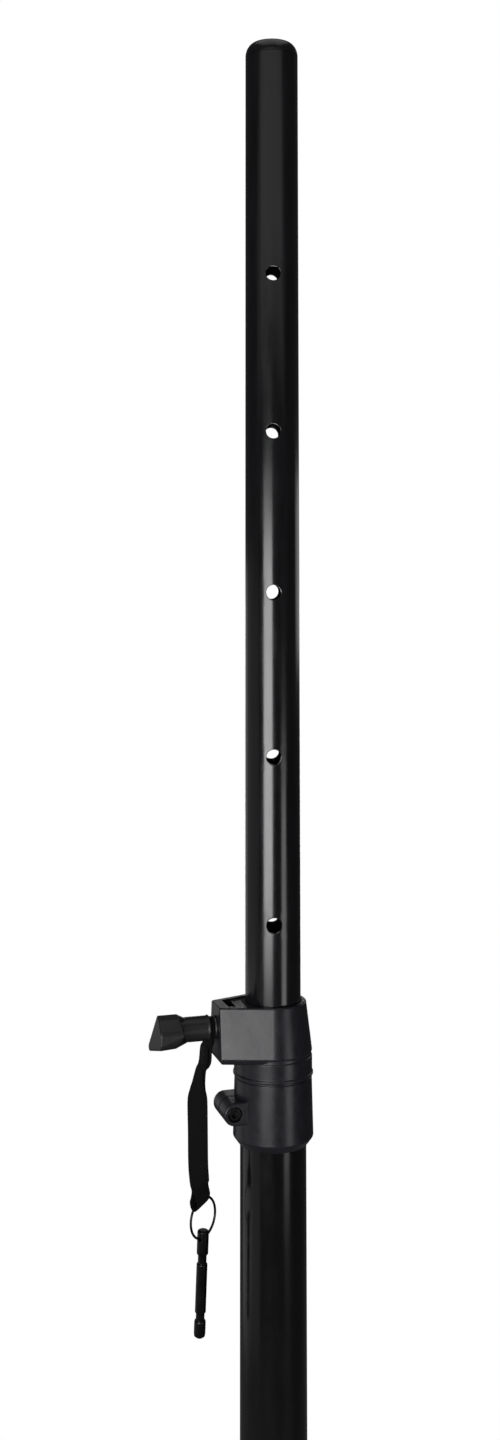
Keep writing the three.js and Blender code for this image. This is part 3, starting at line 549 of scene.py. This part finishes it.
def collar():
    """Head, sleeve and ear joined, less the bores, the pocket, the slit and the recesses for the
    clamp screw, the stud and their nuts."""
    z, ear_at, stud_at = COLLAR_Z, (EAR_A, 0, EAR_Z), (0, 0, KNOB_Z)
    sleeve = turned(eased([(radius, z - drop) for radius, drop in SLEEVE], 0.25), 160)
    shell = combine(collar_head(), [skin(sleeve, True), ear()], "UNION")
    # The cuts run past the ends of the form, so that they go clean through
    seat, under, over, beside = z - SEAT_DROP, z - COLLAR_HIGH - 1.7, z + 2, EAR_HALF + 1.5
    return combine(shell, [
        # The mast's bore, the lower tube's bore, the shoe's pocket and the slit
        rod(COLLAR_BORE, seat, over, columns=160),
        rod(SLEEVE_BORE, under, seat, columns=160),
        pocket(),
        block((0, -1, under), (40, 1, z - 48)),
        # The clamp screw's hole, and the recesses for its head and its nut
        rod(2.75, -beside, beside, "Y", ear_at),
        rod(4.5, 7.4, beside, "Y", ear_at),
        hexagon(8.6, -beside, -8.6, "Y", ear_at),
        # The stud's hole, and the recess for its nut
        rod(STUD_HOLE_R, 20, 40, "X", stud_at),
        hexagon(13.6, 31.5, 35.8, "X", stud_at),
    ], "DIFFERENCE")


place("collar", collar(), "stand", "housing_grey", "collar_housing", crease=24)


# Locking knob, washer, clamp screw

LOBES = [
    # centre across the axis, radius, how far back from the end face it runs, and what share of the
    # centre's distance from the axis is left there
    ((5.6, 9.7), 1.6, 12.0, 1.0), ((9.6, 8.0), 1.5, 12.4, 1.0), ((12.3, 1.0), 4.4, 14.0, 0.97),
    ((13.0, -3.6), 3.8, 10.0, 0.92), ((-15.6, -13.0), 2.5, 11.0, 0.95),
]
RIBS = [
    # which lobe it starts from, where it ends on the stem, how far back from the end face
    (0, (1.0, 5.0), 18.6), (3, (1.5, -5.0), 19.6), (4, (-3.0, -4.6), 23.4),
]
FRONT_EASE, BACK_EASE, CORE_R, RIB_R, STEM_R = 0.9, 0.6, 8, 2.4, 7.4


def disc(along, centre, radius, count=48):
    """A circle across the knob's axis: (along, centre + radius (cos t, sin t))."""
    t = TAU * np.arange(count) / count
    y, z = centre[0] + radius * np.cos(t), centre[1] + radius * np.sin(t)
    return np.column_stack([np.full(count, along), y, z])


def lobe_edge(at, centre, radius, ease, turns):
    """A lobe's eased edge: circles at + ease sin a, of radius less ease (1 - cos a)."""
    return [disc(at + ease * math.sin(a), centre, radius - ease * (1 - math.cos(a)))
            for a in turns]


def knob():
    """A three-cornered grip hulled from its lobes' circles, with quarter-round edges, three ribs
    that run down from it to the stem, and the stem with a fine flange."""
    quarter, at = np.linspace(0, math.pi / 2, 6), (0, 0, KNOB_Z)
    front, back = [], []
    for centre, radius, depth, share in LOBES:
        front += lobe_edge(KNOB_END - FRONT_EASE, centre, radius, FRONT_EASE, quarter)
        inner = np.array(centre) * share
        back.append(lobe_edge(KNOB_END - depth, inner, radius, BACK_EASE, -quarter))
    core = [disc(KNOB_END - depth, (0, 0), CORE_R) for depth in (3, 12)]
    grip = hull(on_collar(np.concatenate([*front, *sum(back, []), *core]) + at))
    ribs = [hull(on_collar(np.concatenate([*back[lobe], disc(KNOB_END - depth, foot, RIB_R)]) + at))
            for lobe, foot, depth in RIBS]
    stem = turned(eased([
        (STUD_BORE, STEM_START), (7.5, STEM_START), (7.75, 42.3), (7.75, 43), (STEM_R, 43.4),
        (STEM_R, STEM_END), (STUD_BORE, STEM_END)], 0.2))
    whole = combine(grip, [*ribs, skin(on_collar(laid(stem, "X") + at), True)], "UNION")
    return combine(whole, [rod(STUD_BORE, STEM_START - 1, STEM_END, "X", at)], "DIFFERENCE")


place("knob", knob(), "knob", "knob_black", "lock_knob", crease=28)
washer = turned(eased([(STUD_BORE, 37.8), (7, 37.8), (7, 39), (STUD_BORE, 39)], 0.25), 64)
place("washer", skin(on_collar(laid(washer, "X") + (0, 0, KNOB_Z)), True),
      "stand", "zinc_steel", "knob_washer")
screw = turned(eased([
    (0, -12.9), (2.4, -12.9), (2.4, 7.7), (3.9, 7.7), (4.2, 8.0), (4.2, 12.2), (3.7, 12.7),
    (0, 12.7)], 0.2, closed=False), 64)
place("ear_screw", combine(skin(on_collar(laid(screw, "Y") + (EAR_A, 0, EAR_Z))),
                           [hexagon(4, 10.1, 14, "Y", (EAR_A, 0, EAR_Z))], "DIFFERENCE"),
      "stand", "hardware_black", "clamp_screw")


# Strap: one woven band, down the front, round under the ring's wire and up the back

STATIONS = np.array([
    # drop as a share of DROP, shift from STRAP_A as a share of the way to EYE_A, shares of the
    # width and the thickness, turn in degrees, share of EYE_SLOPE, gathering of each layer
    (-0.063, 0, 0.36, 1, 90, 0, 1), (-0.044, 0, 0.78, 1, 90, 0, 1), (-0.015, 0, 1, 1, 90, 0, 1),
    (0.049, 0, 0.96, 1, 90, 0, 1), (0.071, 0.009, 0.95, 1.15, 90, 0, 1.15),
    (0.099, 0.31, 0.95, 1.75, 91, 0, 1.8), (0.123, 0.45, 1, 1.9, 93, 0, 1.95),
    (0.17, 0.5, 1, 1.9, 95, 0, 1.95), (0.197, 0.56, 0.97, 1.8, 96, 0, 1.85),
    (0.219, 0.694, 0.8, 1.7, 99, 0, 1.75), (0.242, 0.938, 0.62, 1.7, 104, 0, 1.75),
    (0.306, 1.136, 0.66, 1.6, 124, 0, 1.6), (0.36, 1.258, 0.82, 1.2, 144, 0, 1.2),
    (0.424, 1.276, 1, 1, 160, 0, 1), (0.592, 1.229, 1, 1, 163, 0, 1),
    (0.789, 1.182, 1, 1, 167, 0, 1), (0.888, 1.06, 0.97, 1.1, 180, 0.5, 1),
    (0.925, 1, 0.95, 1.2, 204, 0.8, 1), (0.96, 1, 1, 2.2, 216.5, 1, 1),
    (0.985, 1, 1, 2.9, 216.5, 1, 1),
])
# The band's width, the thickness of the doubled strap and of one layer, and how far the turn round
# the wire reaches down, as a share of half the distance between the layers
WEB_W, WEB_T, LAYER, LOOP_REACH = 12.3, 2.4, 1.1, 1.7


def smooth_rows(values, steps):
    """Catmull-Rom rows between the rows p1 and p2 of a table: half of 2 p1 + (p2 - p0) f +
    (2 p0 - 5 p1 + 4 p2 - p3) f^2 + (3 p1 - p0 - 3 p2 + p3) f^3."""
    t = np.linspace(0, len(values) - 1, steps * (len(values) - 1) + 1)
    i = np.minimum(t.astype(int), len(values) - 2)
    f = (t - i)[:, None]
    p0, p1, p2, p3 = (values[np.clip(i + d, 0, len(values) - 1)] for d in (-1, 0, 1, 2))
    return 0.5 * (2 * p1 + (p2 - p0) * f + (2 * p0 - 5 * p1 + 4 * p2 - p3) * f ** 2
                  + (3 * p1 - p0 - 3 * p2 + p3) * f ** 3)


def strap_line():
    """The band's middle line with, at each of its points, the directions across and out, the width
    and the gathering.

    It goes down in front of the doubled strap's middle by half the distance between its layers, in
    half an ellipse round the eye, and back up behind it."""
    drop, shift, width, thick, turn, slope, gather = smooth_rows(STATIONS, 10).T
    rise = KNOB_Z - DROP * drop
    centre = np.column_stack([STRAP_A + shift * (EYE_A - STRAP_A), 0 * drop, rise])
    half = np.maximum(thick * WEB_T - LAYER * gather, LAYER * gather + 0.1) / 2
    psi = np.linspace(0, math.pi, 18)[1:-1]
    ones, bow = np.ones(len(psi)), half[-1]
    offset = np.concatenate([half, bow * np.cos(psi), -half[::-1]])
    loop = centre[-1] - np.outer(LOOP_REACH * bow * np.sin(psi), (0, 0, 1))
    centre = np.concatenate([centre, loop, centre[::-1]])
    gather = np.concatenate([gather, ones, gather[::-1]])
    angle, tilt, width = (
        np.concatenate([values, ones * values[-1], values[::-1]])
        for values in (np.radians(turn), np.radians(slope * EYE_SLOPE), width * WEB_W))
    centre = centre + np.column_stack([-np.sin(angle), np.cos(angle), 0 * angle]) * offset[:, None]
    across = np.column_stack([np.cos(angle), np.sin(angle), np.tan(tilt)])
    along = np.gradient(centre, axis=0)
    along /= np.linalg.norm(along, axis=1)[:, None]
    out = np.cross(across, along)
    out /= np.linalg.norm(out, axis=1)[:, None]
    return centre, across, out, width, gather


def strap():
    """The band: across it, a share p of the width, and out from its middle half of LAYER h(p) to
    each side, carried along the middle line. h is 1, dips by 45 percent in a groove inside each
    selvedge, and falls to nothing as the root of 1 - (2p)^12 at the edge."""
    centre, across, out, width, gather = strap_line()
    p = 0.5 * np.sin(np.linspace(-math.pi / 2, math.pi / 2, 33))
    groove = 1 - 0.45 * np.exp(-((np.abs(p) - 0.38) / 0.03) ** 2)
    h = np.sqrt(np.maximum(1 - (2 * np.abs(p)) ** 12, 0)) * groove
    p_round = np.concatenate([p, p[::-1]])
    h_round = np.concatenate([h, -h[::-1]]) / 2
    points = (centre[:, None] + across[:, None] * (p_round[None, :, None] * width[:, None, None])
              + out[:, None] * (h_round[None, :, None] * LAYER * gather[:, None, None]))
    run = np.concatenate([[0], np.cumsum(np.linalg.norm(np.diff(centre, axis=0), axis=1))])
    sides = np.concatenate([p, p[::-1] + 3]) * WEB_W * MM
    uv = np.stack(np.broadcast_arrays(sides[None, :], run[:, None] * MM), -1)
    return skin(on_collar(points), uv=uv), run[-1]


strap_mesh, strap_length = strap()
strap_mesh = combine(strap_mesh, [rod(STUD_HOLE_R, 36, 44.5, "X", (0, 0, KNOB_Z))], "DIFFERENCE")
band = place("strap_band", strap_mesh, "strap", "webbing_black", "strap", crease=60)


# Ring and pin

RING_AT = math.radians(RING_TURN)
SLOPE = math.radians(EYE_SLOPE)
RING_CENTRE = np.array([EYE_A - RING_R * math.sin(SLOPE) * math.cos(RING_AT),
                        -RING_R * math.sin(SLOPE) * math.sin(RING_AT),
                        EYE_Z - RING_R * math.cos(SLOPE)])


def wire_ring():
    """A torus: centre + (R + r cos b) (flat cos a + up sin a) + side r sin b."""
    flat = np.array([math.cos(RING_AT), math.sin(RING_AT), 0])
    up, side = np.array([0, 0, 1.0]), np.array([math.sin(RING_AT), -math.cos(RING_AT), 0])
    a, b = np.meshgrid(TAU * np.arange(160) / 160, TAU * np.arange(16) / 16, indexing="ij")
    a, b = a[..., None], b[..., None]
    outwards = flat * np.cos(a) + up * np.sin(a)
    points = RING_CENTRE + outwards * (RING_R + WIRE_R * np.cos(b)) + side * (WIRE_R * np.sin(b))
    return skin(on_collar(points), True)


def pin():
    """A turned pin with two grooves, less the cross hole for the ring. It leans about the ring's
    wire: (x, y cos l + z sin l, z cos l - y sin l), and then turns into the ring's plane."""
    profile = eased([
        (0, -63.2), (1.95, -63.2), (3.3, -62.2), (3.55, -60.8), (3.55, -53.9), (3.3, -53.0),
        (2.65, -52.9), (2.65, -48.6), (3.2, -48.4), (3.35, -48.0), (3.35, -20.2), (3.2, -19.7),
        (2.65, -19.6), (2.65, -14.9), (3.45, -14.0), (3.55, -13.5), (3.55, -0.9), (3.1, -0.2),
        (2.5, 0), (0, 0)], 0.25, closed=False)
    lean, at = math.radians(PIN_LEAN), RING_CENTRE - (0, 0, RING_R)
    c, s = math.cos(lean), math.sin(lean)
    upright = turned(profile, 64) + (0, 0, PIN_HOLE_DROP)
    leaning = upright @ np.array([[1, 0, 0], [0, c, -s], [0, s, c]])
    hole = laid(turned([(0, -6), (PIN_HOLE_R, -6), (PIN_HOLE_R, 6), (0, 6)], 32), "X")
    c, s = math.cos(RING_AT), math.sin(RING_AT)
    around = np.array([[c, s, 0], [-s, c, 0], [0, 0, 1]])
    body, drill = (skin(on_collar(points @ around + at)) for points in (leaning, hole))
    return combine(body, [drill], "DIFFERENCE")


place("wire_ring", wire_ring(), "ring", "hardware_black", "key_ring")
place("safety_pin", pin(), "pin", "hardware_black", "lock_pin")

# The solids that stay get their finish
for sub in frame["record"]["subparts"]:
    node = frame["nodes"][sub["node"]]
    if not node.hide_render:
        node.data.materials.clear()
        node.data.materials.append(LOOKS[sub["material_slot"]])


# Floor, world, lights and camera

# The camera's side in radians, its distance from the pole's axis and its height in metres, its
# pitch and yaw in degrees, the photo's height, focal length and shift in pixels, and a sensor in mm
CAM_SIDE, CAM_FAR, CAM_HIGH = math.radians(3), 1.013, 1.1023
CAM_PITCH, CAM_YAW = 96.02, -2.183
PHOTO_HIGH, LENS, SHIFT, SENSOR = 1440, 1555, -319, 36
# Radiance of the room for reflections and for plain light
GLOSSY_WORLD, ROOM = 0.05, 0.18
# The floor's radius, the two distances from its middle between which its own white grows to all
# that is seen of it, and the share of that white inside the first
FLOOR_R, FLOOR_NEAR, FLOOR_FAR, FLOOR_SHARE = 9, 0.25, 0.9, 0.74
SOFTBOXES = [
    # name, turn, distance, low edge, high edge, width, radiance, tip
    ("key", 18.6, 1.5, 0.5, 1.16, 0.98, 9.6, 0),
    ("side", -47, 1.5, 0.18, 0.8, 0.5, 2.9, 0),
    ("rim", -136, 1.4, 0.96, 1.24, 1.0, 0.8, 0),
    ("upper", 3, 1.2, 1.5, 2.1, 2.6, 0.34, 0),
    ("upper_wide", 5, 1.3, 1.45, 2.1, 4.6, 0.2, 0),
    ("above", 0, 0.1, 1.8, 3.0, 1.3, 0.75, 90),
    ("left_low", 104, 1.3, 0.02, 0.5, 1.2, 0.5, 0),
    ("left_faint", 64, 1.3, 0.02, 0.5, 0.85, 0.36, 0),
    ("left_high", 92, 1.3, 0.52, 1.1, 1.6, 0.2, 0),
    ("left_back", 145, 1.5, 0.4, 1.1, 1.0, 0.35, 0),
    ("behind", 180, 1.6, 0.3, 1.05, 0.6, 3, 0),
]


def seen_rays(tree):
    """The Light Path node, and 1 for the rays that see the background: camera and transmission."""
    rays = add_node(tree, "ShaderNodeLightPath", out="Is Camera Ray").node
    seen = add_node(tree, "ShaderNodeMath", {
        0: rays.outputs["Is Camera Ray"], 1: rays.outputs["Is Transmission Ray"]},
        operation="MAXIMUM")
    return rays, seen


def floor():
    """A round floor that is white in itself further out, and near the pole keeps its shadow."""
    t = TAU * np.arange(96) / 96
    rim = np.column_stack([FLOOR_R * np.cos(t), FLOOR_R * np.sin(t), np.full(len(t), -0.0005)])
    mesh = bpy.data.meshes.new("floor")
    mesh.from_pydata(rim.tolist(), [], [list(range(len(t)))])
    obj = bpy.data.objects.new("floor", mesh)
    bpy.context.scene.collection.objects.link(obj)
    mat, tree, shader = new_material("white_paper", Base_Color=srgb("#767676"), Roughness=0.9,
                                     Specular_IOR_Level=0.0)
    glow = add_node(tree, "ShaderNodeEmission", {"Color": WHITE, "Strength": 1.0})
    _, seen = seen_rays(tree)
    point = add_node(tree, "ShaderNodeTexCoord", out="Object")
    reach = add_node(tree, "ShaderNodeVectorMath", {0: point}, out="Value", operation="LENGTH")
    away = add_node(tree, "ShaderNodeMapRange", {
        "Value": reach, "From Min": FLOOR_NEAR, "From Max": FLOOR_FAR, "To Min": FLOOR_SHARE,
        "To Max": 1.0})
    share = add_node(tree, "ShaderNodeMath", {0: seen, 1: away}, operation="MULTIPLY")
    mixed = add_node(tree, "ShaderNodeMixShader", {0: share, 1: shader.outputs[0], 2: glow})
    tree.links.new(mixed, tree.nodes["Material Output"].inputs["Surface"])
    mesh.materials.append(mat)


def world_light():
    """White where it is seen, and a dim even room as light."""
    world = bpy.data.worlds.new("studio")
    bpy.context.scene.world = world
    world.use_nodes = True
    tree = world.node_tree
    rays, seen = seen_rays(tree)
    lit = add_node(tree, "ShaderNodeMapRange", {
        "Value": rays.outputs["Is Glossy Ray"], "To Min": ROOM, "To Max": GLOSSY_WORLD})
    strength = add_node(tree, "ShaderNodeMath", {0: seen, 1: lit}, operation="MAXIMUM")
    tree.links.new(strength, tree.nodes["Background"].inputs["Strength"])
    tree.nodes["Background"].inputs["Color"].default_value = WHITE


def softbox(name, turn, far, low, high, width, radiance, tip):
    """A panel that faces the pole, turn degrees to the left of the camera: upright, or tipped to
    look down by tip degrees. Its power is radiance times pi times its area."""
    data = bpy.data.lights.new(name, "AREA")
    data.shape = "RECTANGLE"
    data.size, data.size_y = width, high - low
    data.energy = radiance * math.pi * width * (high - low)
    obj = bpy.data.objects.new(name, data)
    angle = CAM_SIDE + math.radians(turn)
    obj.location = (-far * math.sin(angle), -far * math.cos(angle), (low + high) / 2)
    obj.rotation_euler = (math.radians(90 - tip), 0, -angle)
    obj.visible_camera = False
    bpy.context.scene.collection.objects.link(obj)


floor()
world_light()
for values in SOFTBOXES:
    softbox(*values)

cam_data = bpy.data.cameras.new("camera")
cam_data.sensor_fit = "VERTICAL"
cam_data.sensor_height = SENSOR
cam_data.lens = LENS / PHOTO_HIGH * SENSOR
cam_data.shift_y = SHIFT / PHOTO_HIGH
cam_data.clip_end = 50
camera = bpy.data.objects.new("camera", cam_data)
camera.location = (-CAM_FAR * math.sin(CAM_SIDE), -CAM_FAR * math.cos(CAM_SIDE), CAM_HIGH)
camera.rotation_euler = (math.radians(CAM_PITCH), 0, math.radians(CAM_YAW))
bpy.context.scene.collection.objects.link(camera)
bpy.context.scene.camera = camera
bpy.context.scene.view_settings.view_transform = "Standard"
